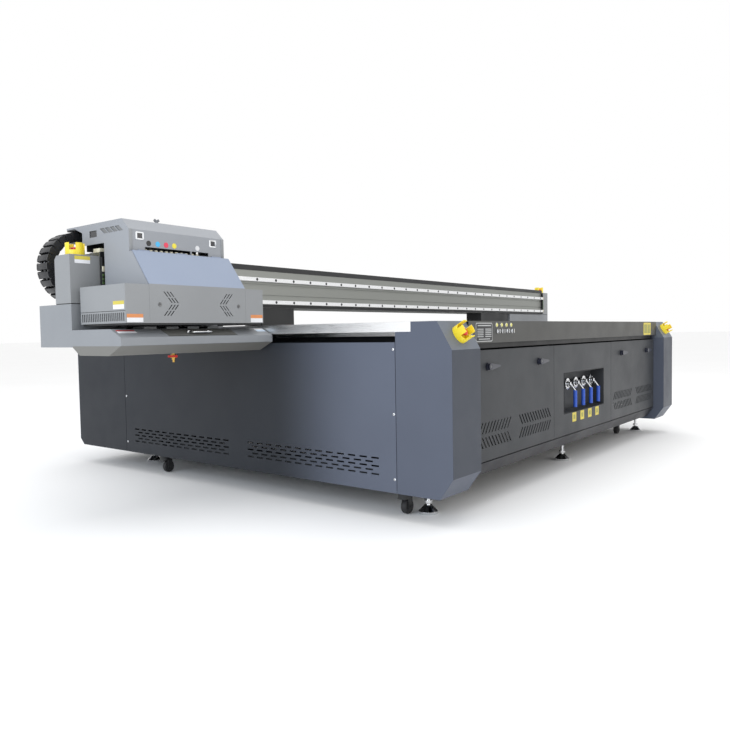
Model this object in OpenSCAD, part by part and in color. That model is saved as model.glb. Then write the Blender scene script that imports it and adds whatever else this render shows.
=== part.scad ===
// Large flatbed printer for rigid sheets. A gantry runs front to back over a vacuum table, and a print
// carriage runs left to right along the gantry beam. Millimetres, +X along the long side, +Y to the back, +Z up.
// The origin is on the floor, under the centre of the machine.

/* [Base] */
// Length of the base over its side covers
base_w = 3600; // [3200:10:4000]
// Depth of the base over its front and rear covers
base_d = 3050; // [2900:10:3300]
// Height of the top of the vacuum table above the floor
table_z = 928; // [900:1:960]
// Height of the lower edge of the covers above the floor
cover_z = 127; // [110:1:150]
// Width of each front pillar
pillar_w = 255; // [200:1:300]
// Thickness of the sheet metal
sheet = 4; // [2:0.5:5]

/* [Doors] */
// How far the doors sit behind the front pillars
door_setback = 80; // [60:1:110]
// Width of the fixed panel between the two doors
valve_panel_w = 1000; // [900:10:1200]
// Height of the lower edge of the doors
door_bottom = 231; // [225:1:260]
// Height of the upper edge of the doors
door_top = 785; // [700:1:790]

/* [Gantry] */
// Distance that each end console stands out beyond the base
console_w = 903; // [800:1:950]
// Height of the beam's underside
beam_z = 1040; // [1035:1:1060]
// Height of the beam's section
beam_h = 247; // [200:1:260]
// Depth of the beam's section
beam_d = 200; // [150:1:220]
// Distance between the two rails on the beam
rail_gap = 133; // [100:1:150]

/* [Carriage] */
// Width of the carriage over its lamp wings
carriage_w = 812; // [760:1:840]
// Height of the carriage roof
roof_z = 1426; // [1410:1:1440]
// Number of print heads in each of the two rows
head_columns = 4; // [2:1:6]

/* [Cable chain] */
// Outer radius of the cable chain's bend
chain_r = 178; // [150:1:185]
// Thickness of the cable chain
chain_t = 50; // [40:1:60]
// Width of the cable chain
chain_w = 100; // [80:1:110]

/* [Feet and casters] */
// Radius of a levelling foot's pad
foot_r = 48; // [35:1:55]
// Radius of a caster wheel
wheel_r = 36; // [30:1:38]

/* [Hidden] */
round_fn = 48;
weld_gap = 0.4;
fit_gap = 0.05;
slide_gap = 0.25;

half_w = base_w / 2;
front_y = -base_d / 2;
back_y = base_d / 2;
door_y = front_y + door_setback;

// Outline of the covers, seen from the side
toe_z = cover_z + 100;
toe_run = 71;
brow_z = table_z - 130;
brow_run = 77;
brow_angle = atan2(table_z - brow_z, brow_run);
heel_z = cover_z + 41;
heel_run = 43;
deck_front_y = front_y + 216;
deck_back_y = back_y - 116;
edge_z = table_z - 46;
slot_z = edge_z - 48;
slot_front_y = front_y + 308;
slot_back_y = back_y - 175;
pillar_back_y = slot_front_y - 5;
rear_cover_y = 961;
seam = 3;

// Welded frame
tube = 80;
tube_wall = 5;
lower_z = 130;
side_beam_x = 1640;
side_beam_w = 100;
side_beam_z = 620;
side_beam_h = 120;
cross_beam_h = 100;
bearer_w = 60;
bearer_z = side_beam_z + side_beam_h;
chamber_z = 860;
front_beam_y = -1263;
mid_beam_y = 671;
rear_beam_y = 1087;
shelf_z = lower_z + tube + weld_gap;

// Feet and casters
feet = [
    [-1600, front_beam_y], [63, front_beam_y], [1670, front_beam_y],
    [-1500, rear_beam_y], [63, rear_beam_y], [1600, rear_beam_y]
];
casters = [[-1700, -1190], [1378, -1190], [-1715, mid_beam_y], [1700, mid_beam_y]];
caster_plate_z = 124;
wheel_w = 28;
wheel_lift = 3;
wheel_z = wheel_r + wheel_lift;
caster_trail = 26;
axle_r = 5;
fork_x = wheel_w / 2 + 3;

// Table and Y axis
y_rail_w = 23;
y_rail_h = 25;
y_rail_z = bearer_z + weld_gap;
arm_x = side_beam_x;
arm_z = slot_z + 4;
arm_h = 40;

// Gantry
beam_y = -31;
console_y1 = 261;
console_z = slot_z + 1;
console_top = beam_z - 3;
console_gap = 4;
console_x0 = half_w + console_gap;
console_x1 = half_w + console_gap + console_w;
tray_y = -425;
tray_top = 915;
tray_bottom = 797;
post_w = 151;
post_d = 135;
post_top = 1268;
x_rail_h = 23;
x_rail_t = 20;
x_rail_z1 = beam_z + 33;
x_rail_z2 = x_rail_z1 + rail_gap;
rail_end_x = console_x1 - post_w - 16;

// Carriage, parked at the left end
car_x0 = -2680;
car_x1 = car_x0 + carriage_w;
wing_w = 122;
hood_x0 = car_x0 + wing_w;
hood_x1 = car_x1 - wing_w;
upper_x1 = hood_x1 - 12;
car_y0 = -425;
car_y1 = -65;
car_z = 940;
wing_top = 1112;
brow_y = -282;
hood_top_y = -305;
hood_top_z = 1275;
hood_low_z = 1115;
roof_back_y = 250;
hinge_axis = [hood_top_y + 14, hood_top_z + 2];
head_z = 932;
plate_z = 962;
screw_x = -2312;
screw_y = -150;
drain = [-2308, -250];
saddle_y = -76;
saddle_t = 10;
shell_t = 3;

// Cable chain
chain_y = 190;
chain_top = 1407;
chain_z = chain_top - chain_r;
chain_x = -console_x1 + chain_r + 7;
chain_end_x = -2400;
chain_fixed_x = 0;

// Emergency stops
guard_r = 44;
guard_wall = 5;
guard_h = 60;
guard_floor = 4;
stop_collar_r = 17;
stop_stem_r = 11;
stop_x = half_w - pillar_w / 2;
stop_y = front_y + brow_run / 2;
stop_z = (brow_z + table_z) / 2;
post_stop_x = console_x1 - 67;
post_stop_y = beam_y + post_d / 2;
stop_reach = guard_h * sin(brow_angle) + guard_r * cos(brow_angle) - brow_run / 2;

// Controls on the fascia and in the valve panel
fascia_y = front_y + 60;
fascia_z = 820;
knob_x = [for (i = [0:3]) -1265 + 53 * i];
knob_z = 877;
lamp_z = 908;
valve_x = [for (i = [0:3]) 32 + 137 * (i - 1.5)];
valve_z = 535;
recess_x = 347;
recess_z0 = 367;
recess_z1 = 608;
recess_d = 90;
spindle_r = 7;
latch_z = 702;
latch_in = 215;
door_x0 = valve_panel_w / 2 + 3;
door_x1 = half_w - pillar_w - 4;
door_depth = 25;
hinge_y = door_y + 9;
hinge_z = door_bottom + 13;
pin_r = 5;

function box_size(low, high) = [for (i = [0:2]) high[i] - low[i]];

// A plain block between two opposite corners
module block(low, high) {
    translate(low) cube(box_size(low, high));
}

// An outline drawn in Y and Z, carried along X from x0 to x1
module along_x(x0, x1) {
    translate([x0, 0, 0]) rotate([90, 0, 90]) linear_extrude(x1 - x0) children();
}

// A rectangle in Y and Z between two opposite corners
module yz_rect(low, high) {
    translate(low) square([high[0] - low[0], high[1] - low[1]]);
}

// Both sides of the machine
module both_sides() {
    children();
    mirror([1, 0, 0]) children();
}

// A square tube along X, Y or Z, open at its ends
module square_tube(low, high, along) {
    hollow_low = [for (i = [0:2]) i == along ? low[i] - 1 : low[i] + tube_wall];
    hollow_high = [for (i = [0:2]) i == along ? high[i] + 1 : high[i] - tube_wall];
    difference() {
        block(low, high);
        block(hollow_low, hollow_high);
    }
}

// ---- Base: frame, table and covers ----

module lower_x_beam(y) {
    reach = side_beam_x + tube;
    square_tube([-reach, y - tube / 2, lower_z], [reach, y + tube / 2, lower_z + tube], 0);
}

module lower_y_beam(y0, y1) {
    low = [side_beam_x - tube / 2, y0 + tube / 2 + weld_gap, lower_z];
    high = [side_beam_x + tube / 2, y1 - tube / 2 - weld_gap, lower_z + tube];
    square_tube(low, high, 1);
}

module leg(y) {
    low = [side_beam_x - tube / 2, y - tube / 2, lower_z + tube + weld_gap];
    high = [side_beam_x + tube / 2, y + tube / 2, side_beam_z - weld_gap];
    square_tube(low, high, 2);
}

module welded_frame() {
    side_in = side_beam_x - side_beam_w / 2;
    side_out = side_beam_x + side_beam_w / 2;
    beam_front = front_beam_y - tube / 2;
    beam_back = back_y - 145;
    cross_ys = [front_beam_y, -500, 250, 1000];
    shelf_x = side_beam_x - tube / 2 - 2;
    color("dimgray") {
        for (y = [front_beam_y, mid_beam_y, rear_beam_y]) lower_x_beam(y);
        both_sides() {
            lower_y_beam(front_beam_y, mid_beam_y);
            lower_y_beam(mid_beam_y, rear_beam_y);
            for (y = [front_beam_y, mid_beam_y, rear_beam_y]) leg(y);
            square_tube([side_in, beam_front, side_beam_z], [side_out, beam_back, bearer_z], 1);
        }
        for (y = cross_ys) {
            low = [-side_in + weld_gap, y - tube / 2, bearer_z - cross_beam_h];
            high = [side_in - weld_gap, y + tube / 2, bearer_z];
            square_tube(low, high, 0);
        }
        for (x = [-1400, -467, 467, 1400]) {
            low = [x - bearer_w / 2, door_y + 35, bearer_z + weld_gap];
            high = [x + bearer_w / 2, beam_back, chamber_z - weld_gap];
            square_tube(low, high, 1);
        }
        block([-shelf_x, front_beam_y - 62, shelf_z], [shelf_x, -640, shelf_z + sheet]);
        for (c = casters) {
            block([c[0] - 45, c[1] - 70, caster_plate_z], [c[0] + 45, c[1] + 40, lower_z - weld_gap]);
        }
    }
}

module y_rails() {
    rack_w = 20;
    rack_x = side_beam_x + 32;
    y0 = front_beam_y - 20;
    y1 = back_y - 160;
    color("silver") both_sides() {
        block([side_beam_x - y_rail_w / 2, y0, y_rail_z], [side_beam_x + y_rail_w / 2, y1, y_rail_z + y_rail_h]);
        block([rack_x - rack_w / 2, y0, y_rail_z], [rack_x + rack_w / 2, y1, y_rail_z + 18]);
    }
}

// Plate with a brushed edge all round, on a flat vacuum chamber with five cross walls
module vacuum_table() {
    chamber_x = 1540;
    chamber_in = 12;
    plate_t = 30;
    cells = 6;
    cell_w = (2 * chamber_x - chamber_in * (cells + 1)) / cells;
    y0 = deck_front_y + 1;
    y1 = deck_back_y - 1;
    color("gainsboro") {
        block([-half_w, y0, table_z - plate_t], [half_w, y1, table_z]);
        both_sides() block([half_w - 60, y0, edge_z], [half_w, y1, table_z - plate_t + 1]);
        difference() {
            block([-chamber_x, y0 + 30, chamber_z], [chamber_x, y1 - 30, table_z - plate_t + 1]);
            for (i = [0:cells - 1]) {
                x0 = -chamber_x + chamber_in + i * (cell_w + chamber_in);
                block([x0, y0 + 42, chamber_z + 8], [x0 + cell_w, y1 - 42, table_z - plate_t]);
            }
        }
    }
}

// Side channel blower on its stand, with its outlet pipe
module vacuum_blower() {
    blower_x = 1010;
    blower_y = -1000;
    blower_r = 150;
    floor_z = shelf_z + sheet + weld_gap;
    axis_z = floor_z + blower_r + 30;
    color("gray") {
        translate([blower_x, blower_y, axis_z]) rotate([0, 90, 0]) {
            cylinder(r = blower_r, h = 120, center = true, $fn = round_fn);
            translate([0, 0, 59]) cylinder(r = 80, h = 200, $fn = round_fn);
            translate([0, 0, 258]) cylinder(r = 85, h = 22, $fn = round_fn);
        }
        block([blower_x - 70, blower_y - 130, floor_z], [blower_x + 250, blower_y + 130, floor_z + 12]);
        block([blower_x - 40, blower_y - 60, floor_z + 11], [blower_x + 220, blower_y + 60, axis_z - 60]);
        translate([blower_x - 20, blower_y + 90, axis_z]) cylinder(r = 30, h = 260, $fn = round_fn);
    }
}

// Staggered rows of short slots, drawn in Y and Z
module vent_field(y0, y1, z0, rows) {
    pitch = 72;
    slot_l = 46;
    slot_h = 8;
    row_h = 19.5;
    for (row = [0:rows - 1]) {
        shift = row % 2 == 0 ? 0 : pitch / 2;
        for (y = [y0 + shift : pitch : y1 - slot_l]) {
            translate([y, z0 + row * row_h]) square([slot_l, slot_h]);
        }
    }
}

module side_panels() {
    mid_y0 = pillar_back_y + seam;
    mid_y1 = rear_cover_y - seam;
    color("slategray") both_sides() along_x(half_w - sheet, half_w) {
        difference() {
            yz_rect([mid_y0, cover_z], [mid_y1, slot_z]);
            vent_field(-1117, -178, 202, 5);
            vent_field(-49, 862, 198, 5);
        }
        polygon([
            [rear_cover_y, cover_z], [back_y - heel_run - 6, cover_z], [back_y - sheet - 1, heel_z + 5],
            [back_y - sheet - 1, table_z - sheet - 1], [deck_back_y, table_z - sheet - 1],
            [deck_back_y, edge_z - 1], [slot_back_y, edge_z - 1], [slot_back_y, slot_z], [rear_cover_y, slot_z]
        ]);
    }
}

module pillar_outline(inset) {
    slope_in = inset / tan(brow_angle / 2 + 45);
    polygon([
        [front_y + toe_run + inset * 0.2, cover_z - (inset > 0 ? 1 : 0)],
        [front_y + inset, toe_z + inset * 0.3],
        [front_y + inset, brow_z - slope_in],
        [front_y + brow_run + inset * 0.6, table_z - inset],
        [deck_front_y - inset, table_z - inset],
        [deck_front_y - inset, edge_z - inset],
        [pillar_back_y + (inset > 0 ? 1 : 0), edge_z - inset],
        [pillar_back_y + (inset > 0 ? 1 : 0), cover_z - (inset > 0 ? 1 : 0)]
    ]);
}

// A folded pillar, open below and behind, with a hole for the door's pin in its inner cheek
module front_pillar() {
    inner = half_w - pillar_w;
    cheek_y = door_y + 110;
    difference() {
        along_x(inner, half_w) pillar_outline(0);
        along_x(inner + sheet, half_w - sheet) pillar_outline(sheet);
        block([inner - 1, cheek_y, cover_z - 1], [inner + sheet + 1, pillar_back_y + 1, table_z - sheet]);
        translate([inner - 1, hinge_y, hinge_z]) rotate([0, 90, 0])
            cylinder(r = pin_r + fit_gap, h = sheet + 2, $fn = round_fn);
    }
}

module front_surround() {
    toe_x = half_w - pillar_w - 0.5;
    toe_bottom = cover_z + 26;
    toe_top = door_bottom - 5;
    toe_back = door_y + 50;
    color("slategray") {
        both_sides() front_pillar();
        along_x(-toe_x, toe_x) polygon([
            [door_y, toe_top], [toe_back, toe_bottom], [toe_back + 30, toe_bottom],
            [toe_back + 30, toe_bottom + sheet], [toe_back + 3, toe_bottom + sheet],
            [door_y + sheet + 1, toe_top - sheet], [door_y + 30, toe_top - sheet], [door_y + 30, toe_top]
        ]);
    }
}

// Folded control fascia with the front deck, drilled for the selector spindles
module front_fascia() {
    inner = half_w - pillar_w - 0.5;
    lip_y = fascia_y + 40;
    lip_z = door_top + 8;
    color("dimgray") difference() {
        along_x(-inner, inner) polygon([
            [fascia_y, fascia_z], [fascia_y, table_z], [deck_front_y, table_z], [deck_front_y, table_z - sheet],
            [fascia_y + sheet, table_z - sheet], [fascia_y + sheet, fascia_z + sheet],
            [lip_y, fascia_z + sheet], [lip_y, lip_z], [lip_y - sheet, lip_z], [lip_y - sheet, fascia_z]
        ]);
        for (x = knob_x) {
            translate([x, fascia_y - 1, knob_z]) rotate([-90, 0, 0])
                cylinder(r = 6 + fit_gap, h = sheet + 2, $fn = round_fn);
        }
    }
}

// Fixed middle panel with the recess for the four vacuum valves
module valve_panel() {
    x1 = valve_panel_w / 2;
    back = door_y + recess_d;
    color("slategray") difference() {
        union() {
            difference() {
                block([-x1, door_y, door_bottom], [x1, door_y + door_depth, door_top]);
                block([-x1 + sheet, door_y + sheet, door_bottom + sheet],
                      [x1 - sheet, door_y + door_depth + 1, door_top - sheet]);
            }
            block([-recess_x - sheet, door_y, recess_z0 - sheet], [recess_x + sheet, back + sheet, recess_z1 + sheet]);
        }
        block([-recess_x, door_y - 1, recess_z0], [recess_x, back, recess_z1]);
        for (side = [-1, 1]) {
            translate([side * x1, hinge_y, hinge_z]) rotate([0, 90, 0])
                cylinder(r = pin_r + fit_gap, h = 4 * sheet, center = true, $fn = round_fn);
        }
    }
}

module rear_panel() {
    service_x = 260;
    service_z = [300, 620];
    color("slategray") {
        difference() {
            along_x(-half_w, half_w) polygon([
                [back_y - heel_run, cover_z], [back_y, heel_z], [back_y, table_z], [deck_back_y, table_z],
                [deck_back_y, table_z - sheet], [back_y - sheet, table_z - sheet], [back_y - sheet, heel_z + 1],
                [back_y - heel_run - 2, cover_z + sheet]
            ]);
            for (x = [-1500 : 60 : -900], z = [230 : 30 : 350]) {
                block([x, back_y - heel_run, z], [x + 40, back_y + 1, z + 10]);
            }
            for (x = [900 : 60 : 1500], z = [230 : 30 : 350]) {
                block([x, back_y - heel_run, z], [x + 40, back_y + 1, z + 10]);
            }
        }
        block([-service_x, back_y - 1, service_z[0]], [service_x, back_y + stop_reach, service_z[1]]);
    }
}

// Ball valves on the back of the recess, with their pipes behind it
module valve_bodies() {
    back = door_y + recess_d;
    flange_r = 36;
    flange_y = door_y + 46;
    color("silver") for (x = valve_x) {
        translate([x, flange_y, valve_z]) rotate([-90, 0, 0]) {
            cylinder(r = flange_r, h = 10, $fn = round_fn);
            translate([0, 0, 9]) cylinder(r = 24, h = back - flange_y - 9, $fn = round_fn);
            translate([0, 0, -16]) cylinder(r = spindle_r, h = 17, $fn = round_fn);
        }
        translate([x, back + sheet, valve_z]) rotate([-90, 0, 0]) cylinder(r = 24, h = 60, $fn = round_fn);
    }
}

// Collar that keeps a hand off an emergency stop by accident, with four gaps in its wall
module guard_ring() {
    gap_w = 30;
    gap_z = 26;
    difference() {
        cylinder(r = guard_r, h = guard_h, $fn = round_fn);
        translate([0, 0, guard_floor]) cylinder(r = guard_r - guard_wall, h = guard_h, $fn = round_fn);
        for (turn = [0, 90]) {
            rotate([0, 0, turn + 45]) translate([-guard_r - 1, -gap_w / 2, gap_z])
                cube([2 * guard_r + 2, gap_w, guard_h]);
        }
    }
    difference() {
        translate([0, 0, guard_floor - 1]) cylinder(r = stop_collar_r, h = 13, $fn = round_fn);
        translate([0, 0, guard_floor]) cylinder(r = stop_stem_r + fit_gap, h = guard_h, $fn = round_fn);
    }
}

module mushroom_button() {
    cap_r = 21;
    stem_z = guard_floor + 7;
    cap_z = 26;
    translate([0, 0, stem_z]) cylinder(r = stop_stem_r, h = cap_z - stem_z + 1, $fn = round_fn);
    translate([0, 0, cap_z]) rotate_extrude($fn = round_fn) polygon([
        [0, 0], [cap_r - 3, 0], [cap_r, 3], [cap_r, 9], [cap_r - 4, 13], [cap_r - 11, 15], [0, 15]
    ]);
}

module at_pillar_stop(side) {
    translate([side * stop_x, stop_y, stop_z]) rotate([brow_angle, 0, 0]) children();
}

module at_post_stop(side) {
    translate([side * post_stop_x, post_stop_y, post_top]) children();
}

module estop_guards() {
    color("gold") for (side = [-1, 1]) at_pillar_stop(side) guard_ring();
}

module post_guards() {
    color("gold") for (side = [-1, 1]) at_post_stop(side) guard_ring();
}

// Buttons 1 and 2 are on the front pillars, 3 and 4 on the gantry posts
module estop_button(i) {
    side = i % 2 == 0 ? -1 : 1;
    color("red") {
        if (i < 2) at_pillar_stop(side) mushroom_button();
        else at_post_stop(side) mushroom_button();
    }
}

module electronics_box() {
    x0 = -1350;
    x1 = -760;
    y0 = front_beam_y - 60;
    floor_z = shelf_z + sheet + weld_gap;
    fin_pitch = 30;
    color("lightgray") {
        block([x0, y0, floor_z], [x1, y0 + 220, floor_z + 380]);
        for (x = [x0 + fin_pitch : fin_pitch : x1 - fin_pitch]) {
            block([x, y0 + 219, floor_z + 40], [x + 4, y0 + 245, floor_z + 340]);
        }
    }
}

module levelling_feet() {
    pad_h = 12;
    cone_h = 30;
    nut_r = 20;
    stud_r = 10;
    color("silver") for (f = feet) translate([f[0], f[1], 0]) {
        cylinder(r = foot_r, h = pad_h, $fn = round_fn);
        translate([0, 0, pad_h]) cylinder(r1 = foot_r, r2 = stud_r + 8, h = cone_h, $fn = round_fn);
        translate([0, 0, pad_h]) cylinder(r = stud_r, h = lower_z - weld_gap - pad_h, $fn = round_fn);
        translate([0, 0, pad_h + cone_h + 8]) cylinder(r = nut_r, h = 14, $fn = 6);
        translate([0, 0, lower_z - weld_gap - 14]) cylinder(r = nut_r, h = 14, $fn = 6);
    }
}

// ---- Moving parts on the base ----

// Door pan with chevron vents in its lower half, seen from the front at its own place
module vent_block(x0, z0, lean) {
    slots = 12;
    pitch = 34;
    slot_w = 13;
    h = 54;
    for (i = [0:slots - 1]) {
        x = x0 + i * pitch + (lean < 0 ? -lean : 0);
        polygon([[x, z0], [x + slot_w, z0], [x + slot_w + lean, z0 + h], [x + lean, z0 + h]]);
    }
}

module door_pan() {
    mid = (door_x0 + door_x1) / 2;
    lean = 40;
    gap = 45;
    block_w = 12 * 34 + lean;
    module vents() {
        for (z = [298, 371]) {
            up = z > 330 ? 1 : -1;
            vent_block(mid - gap - block_w + 20, z, lean * up);
            vent_block(mid + gap, z, -lean * up);
        }
    }
    difference() {
        block([door_x0, door_y, door_bottom], [door_x1, door_y + door_depth, door_top]);
        block([door_x0 + sheet, door_y + sheet, door_bottom + sheet],
              [door_x1 - sheet, door_y + door_depth + 1, door_top - sheet]);
        translate([0, door_y + sheet + 1, 0]) rotate([90, 0, 0]) linear_extrude(sheet + 2) vents();
        for (x = [door_x0 + latch_in, door_x1 - latch_in]) {
            translate([x, door_y - 1, latch_z]) rotate([-90, 0, 0])
                cylinder(r = 8 + fit_gap, h = sheet + 2, $fn = round_fn);
        }
    }
    for (x = [door_x0, door_x1]) {
        translate([x, hinge_y, hinge_z]) rotate([0, 90, 0])
            cylinder(r = pin_r, h = 16, center = true, $fn = round_fn);
    }
}

module front_door_left() {
    color("slategray") mirror([1, 0, 0]) door_pan();
}

module front_door_right() {
    color("slategray") door_pan();
}

// Turn handle: a boss, a blade pointing to the right and a short cam behind the door
module door_latch(i) {
    xs = [-door_x1 + latch_in, -door_x0 - latch_in, door_x0 + latch_in, door_x1 - latch_in];
    boss_r = 20;
    blade_l = 105;
    color("black") translate([xs[i], door_y, latch_z]) {
        translate([0, -1, 0]) rotate([90, 0, 0]) cylinder(r = boss_r, h = 8, $fn = round_fn);
        hull() {
            translate([0, -8.5, 0]) rotate([90, 0, 0]) cylinder(r = 17, h = 13, $fn = 32);
            translate([blade_l, -10, 0]) rotate([90, 0, 0]) cylinder(r = 5, h = 7, $fn = 32);
        }
        translate([0, 16, 0]) rotate([90, 0, 0]) cylinder(r = 8, h = 18, $fn = round_fn);
        block([-10, 9, -12], [34, 14, 12]);
    }
}

module valve_lever(i) {
    hub_y = door_y + 30;
    hub_h = 13;
    grip_y = door_y - 2;
    drop = 40;
    grip_l = 104;
    stem_r = 6.5;
    color("royalblue") translate([valve_x[i], 0, valve_z]) {
        difference() {
            translate([0, hub_y + hub_h, 0]) rotate([90, 0, 0]) cylinder(r = 13, h = hub_h + 3, $fn = round_fn);
            translate([0, hub_y + hub_h + 1, 0]) rotate([90, 0, 0])
                cylinder(r = spindle_r + fit_gap, h = hub_h + 1 + slide_gap, $fn = round_fn);
        }
        hull() {
            translate([0, hub_y - 1, -2]) rotate([90, 0, 0]) cylinder(r = stem_r, h = 4, $fn = 32);
            translate([0, grip_y + 3, -drop - 2]) rotate([90, 0, 0]) cylinder(r = stem_r, h = 6, $fn = 32);
        }
        translate([0, grip_y, -drop - grip_l]) cylinder(r = 12, h = grip_l, $fn = round_fn);
    }
}

module selector_knob(i) {
    knob_r = 11;
    color("silver") translate([knob_x[i], fascia_y, knob_z]) {
        translate([0, -slide_gap, 0]) rotate([90, 0, 0]) cylinder(r = knob_r, h = 9, $fn = round_fn);
        translate([0, 12, 0]) rotate([90, 0, 0]) cylinder(r = 6, h = 13, $fn = round_fn);
        block([-3, -20, -10], [3, -9, 10]);
    }
}

module caster_fork(i) {
    plate_t = 4;
    bridge_z = wheel_z + wheel_r + 10;
    stem_top = caster_plate_z - 0.3;
    leg_x = 16;
    color("black") translate([casters[i][0], casters[i][1], 0]) {
        translate([0, 0, bridge_z]) cylinder(r = 30, h = stem_top - bridge_z, $fn = round_fn);
        block([-24, -fork_x - plate_t, bridge_z - 6], [caster_trail + leg_x, fork_x + plate_t, bridge_z + 1]);
        for (side = [-1, 1]) {
            y = side > 0 ? fork_x : -fork_x - plate_t;
            block([caster_trail - leg_x, y, wheel_z - 12], [caster_trail + leg_x, y + plate_t, bridge_z]);
        }
        translate([caster_trail, 0, wheel_z]) rotate([90, 0, 0])
            cylinder(r = axle_r, h = 2 * (fork_x + plate_t) + 6, center = true, $fn = round_fn);
    }
}

module caster_wheel(i) {
    groove = 3;
    color("black") translate([casters[i][0] + caster_trail, casters[i][1], wheel_z]) rotate([90, 0, 0])
        rotate_extrude($fn = round_fn) polygon([
            [axle_r + fit_gap, -wheel_w / 2], [wheel_r - 12, -wheel_w / 2], [wheel_r - 10, -wheel_w / 2 + groove],
            [wheel_r - 6, -wheel_w / 2], [wheel_r - 2, -wheel_w / 2], [wheel_r, -wheel_w / 2 + 4],
            [wheel_r, wheel_w / 2 - 4], [wheel_r - 2, wheel_w / 2], [wheel_r - 6, wheel_w / 2],
            [wheel_r - 10, wheel_w / 2 - groove], [wheel_r - 12, wheel_w / 2], [axle_r + fit_gap, wheel_w / 2]
        ]);
}

// ---- Gantry ----

// Hollow extrusion with two long grooves in its front face
module gantry_beam() {
    wall = 14;
    x1 = console_x1 - post_w - 1;
    groove_h = 10;
    color("darkgray") along_x(-x1, x1) difference() {
        yz_rect([beam_y, beam_z], [beam_y + beam_d, beam_z + beam_h]);
        yz_rect([beam_y + wall, beam_z + wall], [beam_y + beam_d - wall, beam_z + beam_h / 2 - wall / 2]);
        yz_rect([beam_y + wall, beam_z + beam_h / 2 + wall / 2], [beam_y + beam_d - wall, beam_z + beam_h - wall]);
        for (z = [x_rail_z1 + 34, x_rail_z2 - 36]) yz_rect([beam_y - 1, z], [beam_y + 6, z + groove_h]);
    }
}

module x_rails() {
    color("silver") for (z = [x_rail_z1, x_rail_z2]) along_x(-rail_end_x, rail_end_x) difference() {
        yz_rect([beam_y - x_rail_t, z - x_rail_h / 2], [beam_y, z + x_rail_h / 2]);
        for (dz = [-1, 1]) translate([beam_y - x_rail_t / 2, z + dz * x_rail_h / 2]) circle(r = 4, $fn = 24);
    }
}

// End console: a beam seat and, in front of it, the service tray with a sloping lip
module tray_outline() {
    polygon([
        [tray_y, 842], [tray_y, 877], [tray_y + 80, tray_top], [beam_y, tray_top], [beam_y, tray_bottom + 38],
        [beam_y - 60, tray_bottom], [tray_y + 95, tray_bottom]
    ]);
}

module tray_hollow() {
    polygon([
        [tray_y + shell_t, 845], [tray_y + shell_t, 875], [tray_y + 80, tray_top - shell_t],
        [beam_y - shell_t, tray_top - shell_t], [beam_y - shell_t, tray_bottom + 38],
        [beam_y - 61, tray_bottom + shell_t], [tray_y + 96, tray_bottom + shell_t]
    ]);
}

module console(drawer) {
    well = [[console_x0 + 150, -322], [console_x1 - 140, -60]];
    opening = [[2037, tray_y - 1], [2453, tray_y + 100]];
    difference() {
        union() {
            block([console_x0, beam_y, console_z], [console_x1, console_y1, console_top]);
            along_x(console_x0, console_x1) tray_outline();
        }
        along_x(console_x0 + shell_t, console_x1 - shell_t) tray_hollow();
        block([console_x0 + 40, beam_y + 12, console_z - 1], [console_x1 - 12, console_y1 - 12, console_top - 12]);
        block([well[0][0], well[0][1], tray_top - 10], [well[1][0], well[1][1], tray_top + 1]);
        if (drawer) {
            block([opening[0][0], opening[0][1], 880], [opening[1][0], opening[1][1], 914]);
            translate([-drain[0], drain[1], tray_bottom - 1]) cylinder(r = 9.5, h = shell_t + 2, $fn = round_fn);
        }
    }
}

module end_consoles() {
    color("silver") {
        console(false);
        mirror([1, 0, 0]) console(true);
    }
}

module end_posts() {
    wall = 4;
    chamfer = 18;
    x0 = console_x1 - post_w;
    color("silver") both_sides() difference() {
        along_x(x0, console_x1) polygon([
            [beam_y, beam_z + 1], [beam_y, post_top], [beam_y + post_d - chamfer, post_top],
            [beam_y + post_d, post_top - chamfer], [beam_y + post_d, beam_z + 1]
        ]);
        block([x0 - 1, beam_y + wall, beam_z + 1 + wall],
              [console_x1 - wall, beam_y + post_d - wall, post_top - chamfer - wall]);
    }
}

// Arm from each end console, in through the slot and down to the bearing blocks on the Y rail
module gantry_arms() {
    block_top = y_rail_z + y_rail_h + 35;
    pad_w = 50;
    color("gray") both_sides() {
        block([arm_x - pad_w, beam_y, arm_z], [console_x0, console_y1, arm_z + arm_h]);
        block([arm_x - pad_w, beam_y, block_top - 1], [arm_x + 20, console_y1, arm_z + 1]);
        for (y = [beam_y, console_y1 - 100]) {
            difference() {
                block([arm_x - 35, y, y_rail_z + 6], [arm_x + 20, y + 100, block_top]);
                block([arm_x - y_rail_w / 2 - slide_gap, y - 1, y_rail_z + 5],
                      [arm_x + y_rail_w / 2 + slide_gap, y + 101, y_rail_z + y_rail_h + slide_gap]);
            }
        }
    }
}

// Capping pan with two rows of caps and the drain pipe with its valve, in the left console
module cap_station() {
    x0 = -console_x1 + 150;
    x1 = -console_x0 - 160;
    pan_y0 = -318;
    pan_y1 = -66;
    pan_z = 850;
    wall = 5;
    cap_w = 70;
    cap_d = 86;
    color("dimgray") {
        difference() {
            block([x0, pan_y0, pan_z], [x1, pan_y1, pan_z + 50]);
            block([x0 + wall, pan_y0 + wall, pan_z + wall], [x1 - wall, pan_y1 - wall, pan_z + 51]);
        }
        for (i = [0:head_columns - 1], j = [0, 1]) {
            x = -2510 + i * 124;
            y = -306 + j * 134;
            block([x, y, pan_z + wall - 1], [x + cap_w, y + cap_d, 926]);
        }
        translate([drain[0], drain[1], 764]) difference() {
            union() {
                cylinder(r = 9, h = pan_z - 763, $fn = round_fn);
                translate([0, 0, 10]) cylinder(r = 14, h = 16, $fn = round_fn);
                translate([0, 0, -12]) cylinder(r = 6, h = 13, $fn = round_fn);
            }
            translate([0, 0, -13]) cylinder(r = 4, h = 30, $fn = round_fn);
        }
    }
}

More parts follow.
